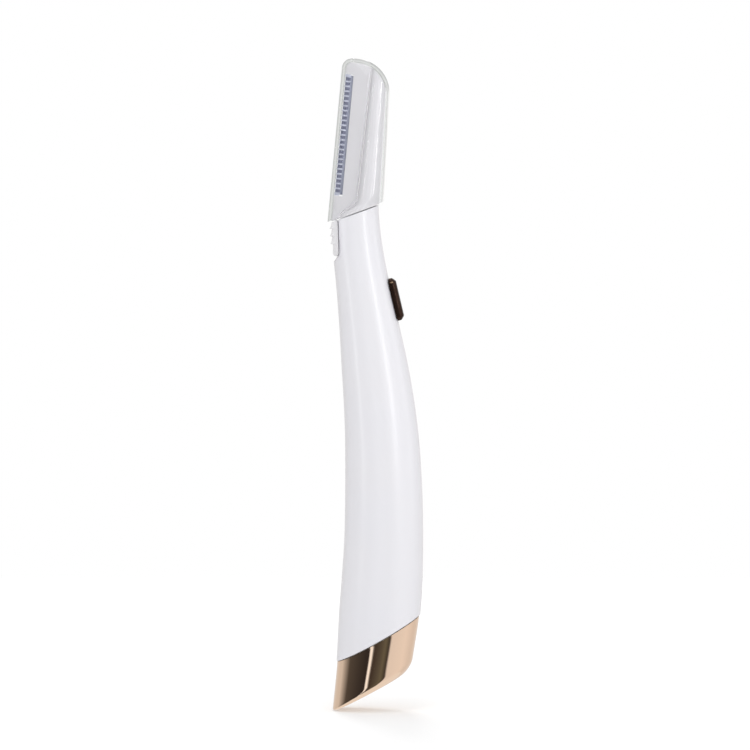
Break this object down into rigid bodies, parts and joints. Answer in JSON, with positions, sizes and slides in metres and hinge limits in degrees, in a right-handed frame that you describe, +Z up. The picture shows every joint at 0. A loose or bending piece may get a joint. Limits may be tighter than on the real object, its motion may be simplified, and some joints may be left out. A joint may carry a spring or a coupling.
{
  "type": "facial hair remover",
  "caption": "Curved handle with a slide switch, a battery end cap, a slim blade head with a comb guard and a clear safety cap.",
  "frame": {"origin": "under the middle of the tool's outline, level with its lowest tip, with the tool standing upright as pictured", "axes": "+Z up along the tool towards the blade head, +X towards the switch side (the back), -X towards the blade, Y across the tool"},
  "size_m": [0.0249, 0.0162, 0.1696],
  "materials": {
    "pearl_shell": "pearl white satin",
    "rose_gold": "rose gold mirror plating",
    "bronze_button": "dark rose gold plating",
    "frosted_head": "frosted white",
    "clear_plastic": "clear, polished",
    "clear_lens": "clear",
    "blade_steel": "fine ground",
    "guard_steel": "blue-grey coated",
    "inner_plastic": "moulded",
    "contact_metal": "nickel plated",
    "black_plastic": "moulded",
    "board_green": "solder mask",
    "cell_jacket": "printed jacket, plain",
    "red_lead": "insulated wire",
    "black_lead": "insulated wire",
    "resistor_body": "lacquered"
  },
  "bodies": {
    "handle": {"handle_shell_left": "pearl_shell", "handle_shell_right": "pearl_shell", "battery_carrier": "inner_plastic", "battery": "cell_jacket", "positive_contact": "contact_metal", "negative_strip": "contact_metal", "circuit_board": "board_green", "board_screw_lower": "contact_metal", "board_screw_upper": "contact_metal", "resistor": "resistor_body", "switch_housing": "black_plastic", "led": "clear_lens", "led_lens": "clear_lens", "lead_positive": "red_lead", "lead_negative": "black_lead"},
    "button": {"slide_button": "bronze_button"},
    "lever": {"switch_lever": "inner_plastic"},
    "end_cap": {"end_cap": "rose_gold", "end_cap_plug": "inner_plastic", "cap_contact_plate": "contact_metal", "battery_spring": "contact_metal"},
    "head": {"head_body": "frosted_head", "blade": "blade_steel", "blade_guard": "guard_steel"},
    "safety_cap": {"safety_cap": "clear_plastic"}
  },
  "joints": [
    {"name": "button_slide", "type": "slide", "parent": "handle", "child": "button", "axis": [-0.2295, 0, 0.9733], "range_m": [0, 0.0025]},
    {"name": "lever_slide", "type": "slide", "parent": "handle", "child": "lever", "axis": [-0.2295, 0, 0.9733], "range_m": [0, 0.0025]},
    {"name": "end_cap_slide", "type": "slide", "parent": "handle", "child": "end_cap", "axis": [-0.0449, 0, -0.999], "range_m": [0, 0.025]},
    {"name": "head_slide", "type": "slide", "parent": "handle", "child": "head", "axis": [-0.035, 0, 0.9994], "range_m": [0, 0.02]},
    {"name": "cap_slide", "type": "slide", "parent": "head", "child": "safety_cap", "axis": [0.0869, 0, 0.9962], "range_m": [0, 0.042]}
  ],
  "couplings": [
    {"joint": "lever_slide", "follows": "button_slide", "ratio": 1}
  ]
}
